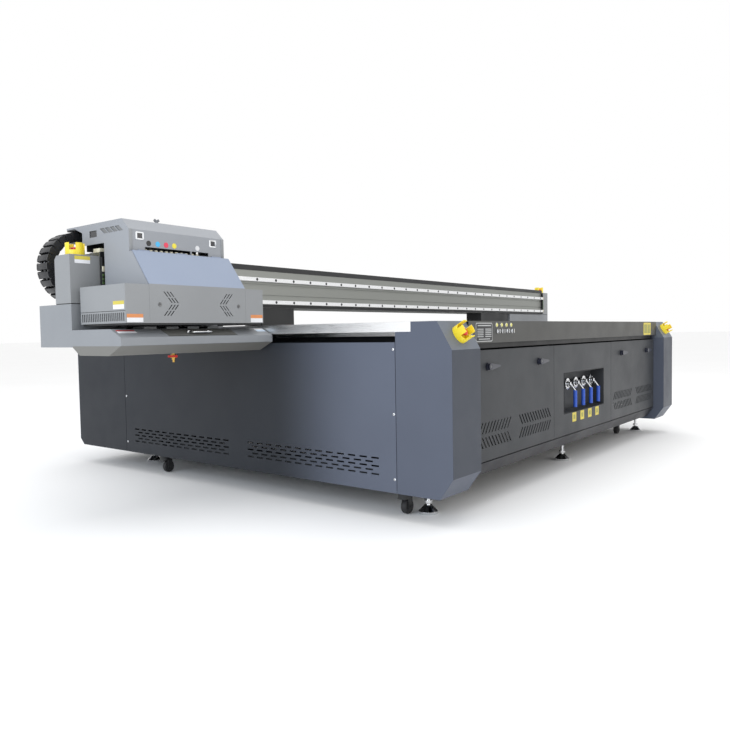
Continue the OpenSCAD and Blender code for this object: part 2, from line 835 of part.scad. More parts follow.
module drain_lever() {
    z = 782;
    color("red") translate([drain[0], drain[1], z]) {
        translate([0, -14.5, 0]) rotate([90, 0, 0]) cylinder(r = 7, h = 8, $fn = round_fn);
        block([-46, -21, -5], [2, -17, 5]);
    }
}

// Servo housings hung under both ends of the beam, and the toothed belt along its top
module x_drive() {
    belt_y = beam_y + 80;
    belt_w = 30;
    top = beam_z - weld_gap;
    color("black") {
        both_sides() {
            block([1224, beam_y, table_z + 6], [1500, beam_y + 150, top]);
            block([1500.5, beam_y + 6, table_z + 22], [1773, beam_y + 140, top]);
        }
        block([-rail_end_x, belt_y, beam_z + beam_h + 1], [rail_end_x, belt_y + belt_w, beam_z + beam_h + 5]);
    }
}

// Black strip along the beam's upper front edge, and the trough behind the beam that holds the chain
module chain_trough() {
    x1 = console_x1 - post_w - 4;
    strip_h = 27;
    rear = beam_y + beam_d;
    wall_y = chain_y + chain_w + 8;
    floor_z = chain_z - chain_r - 5;
    color("black") {
        along_x(-x1, x1) yz_rect([beam_y - 4, beam_z + beam_h - strip_h], [beam_y - 0.5, beam_z + beam_h + 3]);
        along_x(-x1 + 20, x1) yz_rect([rear + 0.5, floor_z - sheet], [wall_y - weld_gap, floor_z]);
        along_x(-x1 + 20, x1) yz_rect([wall_y, floor_z - sheet], [wall_y + sheet, floor_z + 60]);
    }
}

module chain_lower_run() {
    z0 = chain_z - chain_r;
    color("black") block([chain_x + 0.5, chain_y, z0], [chain_fixed_x, chain_y + chain_w, z0 + chain_t]);
}

// ---- Carriage ----

// Bearing blocks, back plate and the bracket over the beam that carries the chain's end
module saddle() {
    x0 = hood_x0 + 14;
    x1 = upper_x1 - 12;
    blocks = [x0 + 20, x1 - 120];
    bracket_z = chain_top - chain_t - 9;
    color("silver") {
        block([x0, saddle_y, car_z + 40], [x1, saddle_y + saddle_t, bracket_z]);
        block([chain_end_x, saddle_y, bracket_z - 1], [x1, chain_y + chain_w, bracket_z + 8]);
        for (x = blocks, z = [x_rail_z1, x_rail_z2]) difference() {
            block([x, saddle_y + saddle_t - 1, z - 26], [x + 100, beam_y - 3, z + 26]);
            block([x - 1, beam_y - x_rail_t - slide_gap, z - x_rail_h / 2 - slide_gap],
                  [x + 101, beam_y, z + x_rail_h / 2 + slide_gap]);
        }
    }
}

module chain_bend() {
    inner_r = chain_r - chain_t;
    color("black") translate([chain_x, chain_y + chain_w, chain_z]) rotate([90, 0, 0]) linear_extrude(chain_w)
        difference() {
            circle(r = chain_r, $fn = 96);
            circle(r = inner_r, $fn = 96);
            translate([0, -chain_r - 1]) square([chain_r + 1, 2 * chain_r + 2]);
        }
}

module chain_upper_run() {
    color("black") block([chain_x + 0.5, chain_y, chain_top - chain_t], [chain_end_x + 80, chain_y + chain_w, chain_top]);
}

// A lamp wing: a box open below, with a louvred outer side
module wing(x0, x1, outer) {
    vent_z = 950;
    vent_h = 36;
    pitch = 15;
    difference() {
        block([x0, car_y0, car_z], [x1, car_y1, wing_top]);
        block([x0 + shell_t, car_y0 + shell_t, car_z - 1], [x1 - shell_t, car_y1 - shell_t, wing_top - shell_t]);
        for (y = [car_y0 + 12 : pitch : car_y1 - 18]) {
            block([outer - shell_t - 1, y, vent_z], [outer + shell_t + 1, y + 8, vent_z + vent_h]);
        }
    }
}

module lower_shell() {
    color("lightgray") {
        wing(car_x0, hood_x0 - 0.5, car_x0);
        wing(hood_x1 + 0.5, car_x1, car_x1);
    }
}

module upper_outline(inset) {
    under = inset > 0 ? 1 : 0;
    polygon([
        [car_y0 + 4 + inset, car_z + 2 - 4 * under],
        [car_y0 + 4 + inset, hood_low_z - 2],
        [hood_top_y + 3 + inset, hood_top_z - 3],
        [brow_y + inset, hood_top_z - 3],
        [brow_y + inset, roof_z - 52 - inset * 0.4],
        [brow_y + 55 + inset * 0.4, roof_z - inset],
        [roof_back_y + inset, roof_z - inset],
        [roof_back_y + inset, roof_z - 9 - under],
        [roof_back_y - 75, roof_z - 9 - under],
        [109 + inset * 0.1, roof_z - 36 - under],
        [109 + inset * 0.1, roof_z - 99 - under],
        [-79 + under, roof_z - 99 - under],
        [-79 + under, car_z + 2 - 4 * under]
    ]);
}

// Screw with two wings that holds the roof down
module wing_screw() {
    hub_h = 22;
    wing_l = 24;
    cylinder(r = 8, h = hub_h, $fn = round_fn);
    for (side = [-1, 1]) rotate([0, -side * 35, 0]) translate([side > 0 ? 4 : -4 - wing_l, -3, hub_h - 12]) {
        cube([wing_l, 6, 12]);
    }
}

// Ink cabinet over the heads: two side plates, roof and front, with slots for the bottle necks
module upper_shell() {
    slots = [[-2473, -2213], [-2205, -2102]];
    windows = [-2501, -2073];
    window = 15;
    slot_z0 = 1279;
    louvre_y = -41;
    louvre_w = 33;
    color("lightgray") difference() {
        along_x(hood_x0, upper_x1) upper_outline(0);
        along_x(hood_x0 + shell_t, upper_x1 - shell_t) upper_outline(shell_t);
        along_x(hood_x0 + shell_t, upper_x1 - shell_t) polygon([
            [car_y0, car_z], [car_y0, hood_low_z], [hood_top_y, hood_top_z], [brow_y - 1, hood_top_z],
            [brow_y - 1, hood_top_z - 10], [0, car_z]
        ]);
        for (s = slots) block([s[0], brow_y - 5, slot_z0], [s[1], brow_y + 10, slot_z0 + 18]);
        for (x = windows) block([x - window, brow_y - 5, 1333], [x + window, brow_y + 10, 1359]);
        block([hood_x0 - 1, -19, 1361], [hood_x0 + 5, 44, 1392]);
        for (i = [0:3]) along_x(hood_x0 - 1, hood_x0 + 5) polygon([
            [-83 + louvre_y * i, 1370], [-48 + louvre_y * i, 1396],
            [-48 + louvre_y * i - louvre_w, 1396 + 0.4], [-83 + louvre_y * i - louvre_w, 1370 + 1]
        ]);
    }
    color("silver") translate([screw_x, screw_y, roof_z - 1]) wing_screw();
}

module uv_lamps() {
    fins = 8;
    color("dimgray") for (x0 = [car_x0 + 16, hood_x1 + 15]) {
        block([x0, car_y0 + 30, car_z + 4], [x0 + 90, car_y1 - 20, car_z + 110]);
        for (i = [0:fins - 1]) {
            block([x0 + 4 + i * 11, car_y0 + 40, car_z + 109], [x0 + 8 + i * 11, car_y1 - 30, car_z + 150]);
        }
    }
}

// Ink bottles in a row behind the front slots
module ink_tanks() {
    xs = [-2442, -2400, -2354, -2308, -2262, -2180, -2132];
    color("black") {
        for (x = xs) translate([x, brow_y + 45, 0]) {
            translate([0, 0, 1160]) cylinder(r = 20, h = 110, $fn = round_fn);
            translate([0, 0, 1269]) cylinder(r = 12, h = 22, $fn = round_fn);
        }
        block([-2480, brow_y + 20, 1150], [-2095, brow_y + 70, 1161]);
    }
}

// Carrier plate with two rows of print heads under it
module print_heads() {
    x0 = hood_x0 + 10;
    x1 = upper_x1 - 8;
    head_w = 60;
    head_d = 80;
    color("dimgray") {
        block([x0, car_y0 + 15, plate_z], [x1, saddle_y - 6, plate_z + 12]);
        for (i = [0:head_columns - 1], j = [0, 1]) {
            x = -2505 + i * 124;
            y = -303 + j * 134;
            block([x, y, head_z], [x + head_w, y + head_d, plate_z + 1]);
            block([x + 8, y + 10, plate_z + 11], [x + head_w - 8, y + head_d - 10, plate_z + 90]);
        }
    }
}

// Chevron of three broken slots, drawn in X and Z, pointing to +X
module chevron() {
    step = 17;
    for (k = [0:2], up = [-1, 1], part = [0, 1]) {
        t0 = part * 0.52;
        t1 = t0 + 0.42;
        tip = k * step;
        w = 6;
        xa = tip + 46 * (1 - t0);
        xb = tip + 46 * (1 - t1);
        za = up * (4 + 54 * t0);
        zb = up * (4 + 54 * t1);
        polygon([[xa, za], [xa + w, za], [xb + w, zb], [xb, zb]]);
    }
}

// Hinged cover over the heads: upright front, sloping hood and a short return at the hinge
module hood_cover() {
    chevron_z = 1028;
    ret = 14;
    barrel_l = 60;
    color("lightsteelblue") difference() {
        along_x(hood_x0, hood_x1) polygon([
            [car_y0, car_z], [car_y0, hood_low_z], [hood_top_y, hood_top_z], [hood_top_y + ret, hood_top_z],
            [hood_top_y + ret, hood_top_z - 2], [hood_top_y + 1, hood_top_z - 2], [car_y0 + 2, hood_low_z - 1],
            [car_y0 + 2, car_z]
        ]);
        translate([0, car_y0 + 4, chevron_z]) rotate([90, 0, 0]) linear_extrude(6) {
            translate([-2486, 0]) chevron();
            translate([-2070, 0]) mirror([1, 0]) chevron();
        }
    }
    color("silver") for (x = [hood_x0 + 40, (hood_x0 + hood_x1 - barrel_l) / 2, hood_x1 - 100]) {
        translate([x, hinge_axis[0], hinge_axis[1]]) rotate([0, 90, 0]) cylinder(r = 4, h = barrel_l, $fn = round_fn);
    }
}

// Shallow tray with a sloping front and a bow handle, in the lip of the left console
module wiper_drawer() {
    x0 = -2450;
    x1 = -2040;
    z0 = 882;
    z1 = 911;
    y1 = tray_y + 98;
    wall = 3;
    slope = [[tray_y + 11, z0], [tray_y + 72, z1]];
    grip_x = [-2316, -2200];
    grip_y = tray_y + 20;
    grip_z = 898;
    rod_r = 4;
    color("silver") {
        difference() {
            along_x(x0, x1) polygon([slope[0], slope[1], [y1, z1], [y1, z0]]);
            along_x(x0 + wall, x1 - wall) polygon([
                [slope[0][0] + 8, z0 + wall], [slope[1][0] + 1, z1 - wall], [slope[1][0] + 1, z1 + 1],
                [y1 - wall, z1 + 1], [y1 - wall, z0 + wall]
            ]);
        }
        for (x = grip_x) translate([x, grip_y + 28, grip_z]) rotate([90, 0, 0])
            cylinder(r = rod_r, h = 34, $fn = round_fn);
        translate([grip_x[0], grip_y - 6, grip_z]) rotate([0, 90, 0])
            cylinder(r = rod_r, h = grip_x[1] - grip_x[0], $fn = round_fn);
        for (x = grip_x) translate([x, grip_y - 6, grip_z]) sphere(r = rod_r, $fn = round_fn);
    }
}

welded_frame();
y_rails();
vacuum_table();
vacuum_blower();
side_panels();
front_surround();
front_fascia();
valve_panel();
rear_panel();
valve_bodies();
estop_guards();
electronics_box();
levelling_feet();
gantry_beam();
x_rails();
end_consoles();
end_posts();
gantry_arms();
cap_station();
x_drive();
chain_trough();
post_guards();
chain_lower_run();
saddle();
chain_upper_run();
chain_bend();
lower_shell();
upper_shell();
uv_lamps();
ink_tanks();
print_heads();
hood_cover();
wiper_drawer();
drain_lever();
front_door_left();
front_door_right();
door_latch(0);  // door_latch_1
door_latch(1);  // door_latch_2
door_latch(2);  // door_latch_3
door_latch(3);  // door_latch_4
valve_lever(0);  // valve_lever_1
valve_lever(1);  // valve_lever_2
valve_lever(2);  // valve_lever_3
valve_lever(3);  // valve_lever_4
selector_knob(0);  // selector_knob_1
selector_knob(1);  // selector_knob_2
selector_knob(2);  // selector_knob_3
selector_knob(3);  // selector_knob_4
estop_button(0);  // estop_button_1
estop_button(1);  // estop_button_2
estop_button(2);  // estop_button_3
estop_button(3);  // estop_button_4
caster_fork(0);  // caster_fork_1
caster_fork(1);  // caster_fork_2
caster_fork(2);  // caster_fork_3
caster_fork(3);  // caster_fork_4
caster_wheel(0);  // caster_wheel_1
caster_wheel(1);  // caster_wheel_2
caster_wheel(2);  // caster_wheel_3
caster_wheel(3);  // caster_wheel_4
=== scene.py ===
"""Looks of a large flatbed printer: finishes, small details, light and camera.

The frame is in metres. Details are drawn in millimetres in the same frame and scaled by MM.
"""
import math

import bmesh
import bpy
from mathutils import Matrix, Vector


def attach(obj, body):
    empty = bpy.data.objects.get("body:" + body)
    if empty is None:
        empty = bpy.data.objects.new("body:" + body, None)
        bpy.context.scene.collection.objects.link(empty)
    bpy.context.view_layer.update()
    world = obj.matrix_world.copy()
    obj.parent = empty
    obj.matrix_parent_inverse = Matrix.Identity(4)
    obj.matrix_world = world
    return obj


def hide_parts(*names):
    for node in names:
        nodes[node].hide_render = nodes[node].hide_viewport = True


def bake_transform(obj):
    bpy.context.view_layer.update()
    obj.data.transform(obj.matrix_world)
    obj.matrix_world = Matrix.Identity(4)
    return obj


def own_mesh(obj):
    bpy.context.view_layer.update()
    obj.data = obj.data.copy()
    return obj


MM = 0.001
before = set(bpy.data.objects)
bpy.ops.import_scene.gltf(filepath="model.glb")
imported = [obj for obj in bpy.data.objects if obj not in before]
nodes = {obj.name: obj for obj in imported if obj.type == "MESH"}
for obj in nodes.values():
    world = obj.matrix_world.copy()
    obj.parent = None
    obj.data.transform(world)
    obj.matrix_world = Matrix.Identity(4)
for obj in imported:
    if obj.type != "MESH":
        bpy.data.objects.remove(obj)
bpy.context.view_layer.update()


# ---- Finishes ----

def linear(r, g, b):
    """An sRGB colour of 0 to 255 as a linear RGBA colour."""
    out = []
    for v in (r / 255, g / 255, b / 255):
        out.append(v / 12.92 if v <= 0.04045 else ((v + 0.055) / 1.055) ** 2.4)
    return (*out, 1.0)


class Finish:
    """A Principled material with its nodes, in the object's own coordinates."""

    def __init__(self, name):
        self.material = bpy.data.materials.new(name)
        self.material.use_nodes = True
        self.tree = self.material.node_tree
        self.shader = self.tree.nodes["Principled BSDF"]
        self.coords = self.node("ShaderNodeTexCoord").outputs["Object"]

    def node(self, kind, **settings):
        made = self.tree.nodes.new(kind)
        for key, value in settings.items():
            setattr(made, key, value)
        return made

    def feed(self, socket, value):
        if isinstance(value, bpy.types.NodeSocket):
            self.tree.links.new(value, socket)
        else:
            socket.default_value = value

    def math(self, operation, a, b=0.0, c=0.0):
        made = self.node("ShaderNodeMath", operation=operation)
        for socket, value in zip(made.inputs, (a, b, c)):
            self.feed(socket, value)
        return made.outputs[0]

    def mix(self, share, a, b):
        made = self.node("ShaderNodeMix", data_type="RGBA")
        for socket, value in zip((made.inputs["Factor"], made.inputs[6], made.inputs[7]), (share, a, b)):
            self.feed(socket, value)
        return made.outputs[2]

    def spread(self, value, low, high):
        made = self.node("ShaderNodeMapRange")
        for socket, number in zip(made.inputs, (value, 0.3, 0.7, low, high)):
            self.feed(socket, number)
        return made.outputs[0]

    def noise(self, scale, detail=3.0, stretch=(1, 1, 1)):
        place = self.node("ShaderNodeMapping")
        place.inputs["Scale"].default_value = stretch
        self.feed(place.inputs["Vector"], self.coords)
        made = self.node("ShaderNodeTexNoise")
        made.inputs["Scale"].default_value = scale
        made.inputs["Detail"].default_value = detail
        self.feed(made.inputs["Vector"], place.outputs[0])
        return made.outputs["Fac"]

    def axis(self, name):
        parts = self.node("ShaderNodeSeparateXYZ")
        self.feed(parts.inputs[0], self.coords)
        return parts.outputs[name]

    def relief(self, height, depth, strength=0.5, edge=0.0015):
        rounded = self.node("ShaderNodeBevel", samples=4)
        rounded.inputs["Radius"].default_value = edge
        bump = self.node("ShaderNodeBump")
        bump.inputs["Strength"].default_value = strength
        bump.inputs["Distance"].default_value = depth
        self.feed(bump.inputs["Height"], height)
        self.feed(bump.inputs["Normal"], rounded.outputs[0])
        self.feed(self.shader.inputs["Normal"], bump.outputs[0])


def shade(colour, by):
    """A colour made darker or lighter by a factor."""
    return (*(min(1.0, c * by) for c in colour[:3]), 1.0)


def paint(name, colour, rough=0.42, grain=700, depth=0.0002, zones=(), drift=0.06, gloss=0.3):
    """Powder coat with fine orange peel, faint clouding and uneven gloss.

    Each of the zones is (test, colour) and repaints the part where its test is 1.
    """
    finish = Finish(name)
    cloud = finish.noise(1.7, 4)
    peel = finish.noise(grain, 2)
    base = finish.mix(finish.spread(cloud, 0, 1), shade(colour, 1 - drift), shade(colour, 1 + drift))
    for test, tone in zones:
        base = finish.mix(test(finish), base, finish.mix(cloud, shade(tone, 0.95), shade(tone, 1.05)))
    base = finish.mix(finish.math("MULTIPLY", peel, 0.12), base, shade(colour, 0.6))
    finish.feed(finish.shader.inputs["Base Color"], base)
    sheen = finish.spread(finish.noise(6, 5), rough - 0.05, rough + 0.06)
    finish.feed(finish.shader.inputs["Roughness"], sheen)
    finish.shader.inputs["Specular IOR Level"].default_value = gloss
    finish.relief(peel, depth)
    return finish.material


def metal(name, colour, rough=0.3, along=None, fine=260, depth=0.0001, zone=None):
    """Bare metal, with its grain along an axis. zone, (test, colour, roughness), is another metal in it."""
    finish = Finish(name)
    stretch = [1.0, 1.0, 1.0]
    if along is not None:
        stretch = [6.0, 6.0, 6.0]
        stretch[along] = 0.06
    grain = finish.noise(fine, 3, stretch)
    base = finish.mix(grain, shade(colour, 0.85), shade(colour, 1.1))
    gloss = finish.spread(grain, rough - 0.07, rough + 0.09)
    if zone:
        test = zone[0](finish)
        base = finish.mix(test, base, finish.mix(grain, shade(zone[1], 0.9), shade(zone[1], 1.1)))
        gloss = finish.math("MULTIPLY_ADD", finish.math("SUBTRACT", zone[2], rough), test, gloss)
    finish.feed(finish.shader.inputs["Base Color"], base)
    finish.shader.inputs["Metallic"].default_value = 1.0
    finish.feed(finish.shader.inputs["Roughness"], gloss)
    finish.relief(grain, depth, 0.3)
    return finish.material


def plastic(name, colour, rough=0.35, grain=400, depth=0.0001, coat=0.0, zone=None):
    """Moulded plastic or rubber. zone = (test, metal colour) turns a part of it into bright metal."""
    finish = Finish(name)
    cloud = finish.noise(9, 3)
    fine = finish.noise(grain, 2)
    base = finish.mix(finish.spread(cloud, 0, 1), shade(colour, 0.88), shade(colour, 1.08))
    gloss = finish.spread(cloud, rough - 0.06, rough + 0.08)
    if zone:
        test = zone[0](finish)
        base = finish.mix(test, base, finish.mix(fine, shade(zone[1], 0.9), zone[1]))
        finish.feed(finish.shader.inputs["Metallic"], test)
        gloss = finish.math("MULTIPLY_ADD", finish.math("SUBTRACT", 0.14, rough), test, gloss)
    finish.feed(finish.shader.inputs["Base Color"], base)
    finish.feed(finish.shader.inputs["Roughness"], gloss)
    finish.shader.inputs["Coat Weight"].default_value = coat
    finish.relief(fine, depth, 0.3, 0.001)
    return finish.material


def beyond(name, limit, above=True):
    """A test that is 1 where a coordinate is past a limit, in metres."""
    return lambda finish: finish.math("GREATER_THAN" if above else "LESS_THAN", finish.axis(name), limit)


def near_middle(limit):
    """A test that is 1 within a distance of the machine's middle along X, in metres."""
    return lambda finish: finish.math("LESS_THAN", finish.math("ABSOLUTE", finish.axis("X")), limit)


def fading_back(start, end, most):
    """A share that grows softly from 0 to most between two places along Y, in metres."""
    def share(finish):
        made = finish.node("ShaderNodeMapRange", interpolation_type="SMOOTHSTEP")
        for socket, number in zip(made.inputs, (finish.axis("Y"), start, end, 0.0, most)):
            finish.feed(socket, number)
        return made.outputs[0]
    return share


def all_of(*tests):
    """A test that is 1 where each of its tests is."""
    def both(finish):
        share = tests[0](finish)
        for test in tests[1:]:
            share = finish.math("MULTIPLY", share, test(finish))
        return share
    return both


def perforated_bed(name, colour):
    """Milled plate with a brushed edge and a grid of suction holes in its top."""
    finish = Finish(name)
    pitch, hole_r, top_z = 0.04, 0.0035, 0.9279
    squares = []
    for axis in ("X", "Y"):
        cell = finish.math("FRACT", finish.math("DIVIDE", finish.axis(axis), pitch))
        offset = finish.math("MULTIPLY", finish.math("SUBTRACT", cell, 0.5), pitch)
        squares.append(finish.math("POWER", offset, 2.0))
    inside = finish.math("LESS_THAN", finish.math("ADD", *squares), hole_r * hole_r)
    top = finish.math("GREATER_THAN", finish.axis("Z"), top_z)
    grain = finish.noise(240, 3, (0.08, 0.08, 9.0))
    base = finish.mix(grain, shade(colour, 0.9), shade(colour, 1.1))
    milled = finish.mix(finish.noise(60, 4), linear(150, 151, 152), linear(172, 173, 174))
    base = finish.mix(top, base, milled)
    base = finish.mix(finish.math("MULTIPLY", top, inside), base, linear(25, 25, 26))
    finish.feed(finish.shader.inputs["Base Color"], base)
    bare = finish.math("SUBTRACT", 1.0, finish.math("MULTIPLY", top, 0.4))
    finish.feed(finish.shader.inputs["Metallic"], bare)
    finish.feed(finish.shader.inputs["Roughness"], finish.spread(grain, 0.24, 0.4))
    finish.relief(grain, 0.0001, 0.3)
    return finish.material


slate = linear(82, 88, 102)
light_grey = linear(140, 142, 144)
bright = linear(225, 226, 228)
brass = linear(196, 158, 84)

# Zones on the front surround, light and shade painted on one paint: painted shade on the pillars' front
# faces, a painted highlight on their sloping brows, and painted shade on the toe panel
pillar_front_shade = beyond("Y", -1.5245, False)
pillar_brow_highlight = all_of(beyond("Z", 0.7985), beyond("Y", -1.447, False), near_middle(1.7995))
toe_panel_shade = near_middle(1.5447)
cover = paint("cover_powder_coat", slate, zones=(
    (pillar_front_shade, linear(55, 60, 70)),
    (pillar_brow_highlight, linear(100, 106, 116)),
    (toe_panel_shade, linear(40, 40, 44)),
))
# Painted shadow: the left side cover darkens toward the back, standing in for the shade under the console
left_rear_shadow = all_of(fading_back(-1.05, -0.4, 0.95), beyond("X", 0, False))
side_cover = paint("side_powder_coat", linear(88, 94, 108), zones=(
    (left_rear_shadow, linear(22, 26, 31)),
), gloss=0.25)
rear_cover = paint("rear_powder_coat", slate)
door = paint("door_powder_coat", linear(58, 60, 63), gloss=0.2)
# Painted shade: the fascia's return lip is painted near black
fascia_return_shade = beyond("Z", 0.8196, False)
fascia = paint("fascia_powder_coat", linear(69, 69, 67), zones=((fascia_return_shade, linear(24, 24, 26)),))
gantry = paint("gantry_powder_coat", light_grey)
# Painted shade: the console's underside is painted darker
console_underside_shade = all_of(beyond("Z", 0.8405, False), beyond("Y", -0.0325, False))
console = paint("console_powder_coat", linear(137, 140, 144), grain=620, zones=(
    (console_underside_shade, linear(116, 115, 111)),
))
# Painted highlight: the hood's upper slope is painted lighter and bluer, standing in for skylight on it
hood_slope_highlight = beyond("Z", 1.1152)
hood = paint("hood_powder_coat", light_grey, zones=((hood_slope_highlight, linear(136, 147, 167)),))
frame_coat = paint("frame_powder_coat", linear(48, 50, 53), rough=0.5)
box_coat = paint("equipment_box_coat", linear(170, 170, 168))
wing_screw = beyond("Z", 1.4275)
shell = paint("upper_powder_coat", linear(145, 148, 153), zones=((wing_screw, linear(120, 122, 126)),))
bed = perforated_bed("bed_aluminium", linear(250, 250, 250))
beam = metal("beam_anodised", linear(150, 152, 148), 0.45, 0, 200)
rail = metal("rail_ground", linear(236, 237, 238), 0.2, 0)
y_rail = metal("y_rail_ground", linear(205, 206, 208), 0.24, 1)
cast = metal("blower_cast", linear(150, 152, 154), 0.5, None, 320, 0.0004)
chrome = metal("chrome_plate", bright, 0.13, None, 40)
folded = metal("folded_steel", linear(150, 151, 152), 0.42, 0)
drawer_coat = paint("drawer_coat", linear(112, 112, 109), rough=0.36)
drain_zone = (beyond("Z", 0.84, False), brass, 0.22)  # the cock under the pan
drain_steel = metal("drain_pan_steel", linear(120, 122, 124), 0.4, 0, zone=drain_zone)
heads = metal("head_anodised", linear(52, 53, 58), 0.4, 0)
lamps = metal("lamp_anodised", linear(60, 61, 65), 0.4, 1)
lock_metal = metal("lock_metal", linear(120, 121, 122), 0.35, None, 60)
yellow = plastic("guard_yellow", linear(240, 216, 48), 0.36, coat=0.2)
red = plastic("button_red", linear(205, 48, 40), 0.32, coat=0.3)
above_grip = beyond("Z", 0.4965)
lever = plastic("lever_blue", linear(34, 78, 176), 0.4, zone=(above_grip, bright))
black = plastic("drive_black", linear(32, 33, 35), 0.5)
latch = plastic("latch_black", linear(30, 33, 48), 0.34, coat=0.2)
chain_black = plastic("chain_nylon", linear(30, 31, 34), 0.4)
caster = plastic("caster_nylon", linear(34, 35, 37), 0.42)
tread = plastic("wheel_tread", linear(38, 38, 40), 0.62, 900, 0.0003)
bottle = plastic("bottle_dark", linear(40, 41, 45), 0.3, coat=0.3)
cream = plastic("cream_plastic", linear(226, 220, 196), 0.4)
white = plastic("white_plastic", linear(232, 233, 234), 0.4)
sticker_white = plastic("sticker_white", linear(226, 227, 230), 0.5)
sticker_yellow = plastic("sticker_yellow", linear(204, 188, 78), 0.5)
sticker_orange = plastic("sticker_orange", linear(214, 138, 84), 0.5)
sticker_olive = plastic("sticker_olive", linear(150, 148, 78), 0.5)
lens_yellow = plastic("lens_yellow", linear(206, 200, 112), 0.3, coat=0.3)
sticker_red = plastic("sticker_red", linear(196, 52, 56), 0.5)
sticker_blue = plastic("sticker_blue", linear(196, 214, 232), 0.5)
plate_black = plastic("plate_black", linear(34, 34, 36), 0.4)
plate_grey = plastic("plate_grey", linear(172, 174, 174), 0.5)
hose = plastic("hose_black", linear(24, 24, 27), 0.28, coat=0.3)
board_green = plastic("board_green", linear(86, 112, 66), 0.5)
mesh_grey = paint("louvre_mesh", linear(120, 121, 122), grain=1500, depth=0.0006)
inks = {
    "black": plastic("ink_black", linear(28, 28, 30), 0.35),
    "cyan": plastic("ink_cyan", linear(70, 176, 226), 0.35),
    "magenta": plastic("ink_magenta", linear(214, 58, 84), 0.35),
    "yellow": plastic("ink_yellow", linear(220, 204, 62), 0.35),
    "white": plastic("ink_white", linear(214, 215, 217), 0.35),
}

node_finishes = {
    "welded_frame": frame_coat, "y_rails": y_rail, "vacuum_table": bed, "vacuum_blower": cast,
    "side_panels": side_cover, "front_surround": cover, "front_fascia": fascia, "valve_panel": door,
    "rear_panel": rear_cover, "valve_bodies": chrome, "estop_guards": yellow, "electronics_box": box_coat,
    "levelling_feet": chrome, "gantry_beam": beam, "x_rails": rail, "end_consoles": console,
    "end_posts": gantry, "gantry_arms": frame_coat, "cap_station": drain_steel, "x_drive": black,
    "chain_trough": black, "post_guards": yellow, "saddle": folded, "lower_shell": gantry,
    "upper_shell": shell, "uv_lamps": lamps, "ink_tanks": bottle, "print_heads": heads,
    "hood_cover": hood, "wiper_drawer": drawer_coat, "drain_lever": red, "front_door_left": door,
    "front_door_right": door, "chain_lower_run": chain_black, "chain_upper_run": chain_black,
    "chain_bend": chain_black,
}
for number in range(1, 5):
    node_finishes[f"door_latch_{number}"] = latch
    node_finishes[f"valve_lever_{number}"] = lever
    node_finishes[f"selector_knob_{number}"] = chrome
    node_finishes[f"estop_button_{number}"] = red
    node_finishes[f"caster_fork_{number}"] = caster
    node_finishes[f"caster_wheel_{number}"] = tread
for name, material in node_finishes.items():
    nodes[name].data.materials.clear()
    nodes[name].data.materials.append(material)


# ---- Mesh helpers, in millimetres ----

def soften(bm, edges, width, segments=2):
    if width:
        bmesh.ops.bevel(bm, geom=edges, offset=width, segments=segments, affect="EDGES", profile=0.5)


def add_block(bm, low, high, bevel=0.6):
    low, high = Vector(low), Vector(high)
    made = bmesh.ops.create_cube(bm, size=1)["verts"]
    for v in made:
        v.co = Vector(low[i] + (v.co[i] + 0.5) * (high[i] - low[i]) for i in range(3))
    soften(bm, list({e for v in made for e in v.link_edges}), bevel)


def add_prism(bm, outline, place, depth, bevel=0.0):
    """An outline in the plane of place's X and Y, carried along its Z by depth."""
    back = [bm.verts.new(place @ Vector((x, y, 0))) for x, y in outline]
    front = [bm.verts.new(place @ Vector((x, y, depth))) for x, y in outline]
    faces = [bm.faces.new(back[::-1]), bm.faces.new(front)]
    count = len(outline)
    for i in range(count):
        faces.append(bm.faces.new((back[i], back[(i + 1) % count], front[(i + 1) % count], front[i])))
    soften(bm, list(faces[1].edges), bevel)


def add_turned(bm, profile, place, sides=24):
    """A profile of (radius, height) turned round place's Z."""
    rings = []
    for radius, height in profile:
        if radius < 1e-6:
            rings.append([bm.verts.new(place @ Vector((0, 0, height)))])
            continue
        turn = [2 * math.pi * k / sides for k in range(sides)]
        rings.append([
            bm.verts.new(place @ Vector((radius * math.cos(t), radius * math.sin(t), height))) for t in turn
        ])
    for a, b in zip(rings, rings[1:]):
        for k in range(sides):
            corners = [a[k % len(a)], a[(k + 1) % len(a)], b[(k + 1) % len(b)], b[k % len(b)]]
            corners = list(dict.fromkeys(corners))
            if len(corners) > 2:
                bm.faces.new(corners)
    for ring in (rings[0], rings[-1]):
        if len(ring) > 2:
            bm.faces.new(ring)


def add_tube(bm, points, radius, sides=12):
    points = [Vector(p) for p in points]
    rings = []
    normal = None
    for i, point in enumerate(points):
        along = (points[min(i + 1, len(points) - 1)] - points[max(i - 1, 0)]).normalized()
        if normal is None:
            normal = along.orthogonal().normalized()
        normal = (normal - along * normal.dot(along)).normalized()
        side = along.cross(normal)
        rings.append([
            bm.verts.new(point + radius * (math.cos(t) * normal + math.sin(t) * side))
            for t in (2 * math.pi * k / sides for k in range(sides))
        ])
    for a, b in zip(rings, rings[1:]):
        for k in range(sides):
            bm.faces.new((a[k], a[(k + 1) % sides], b[(k + 1) % sides], b[k]))
    bm.faces.new(rings[0][::-1])
    bm.faces.new(rings[-1])


def rounded_rect(x0, x1, y0, y1, radius, steps=5):
    out = []
    corners = ((x1 - radius, y1 - radius, 0), (x0 + radius, y1 - radius, 90),
               (x0 + radius, y0 + radius, 180), (x1 - radius, y0 + radius, 270))
    for cx, cy, start in corners:
        for k in range(steps + 1):
            t = math.radians(start + 90 * k / steps)
            out.append((cx + radius * math.cos(t), cy + radius * math.sin(t)))
    return out


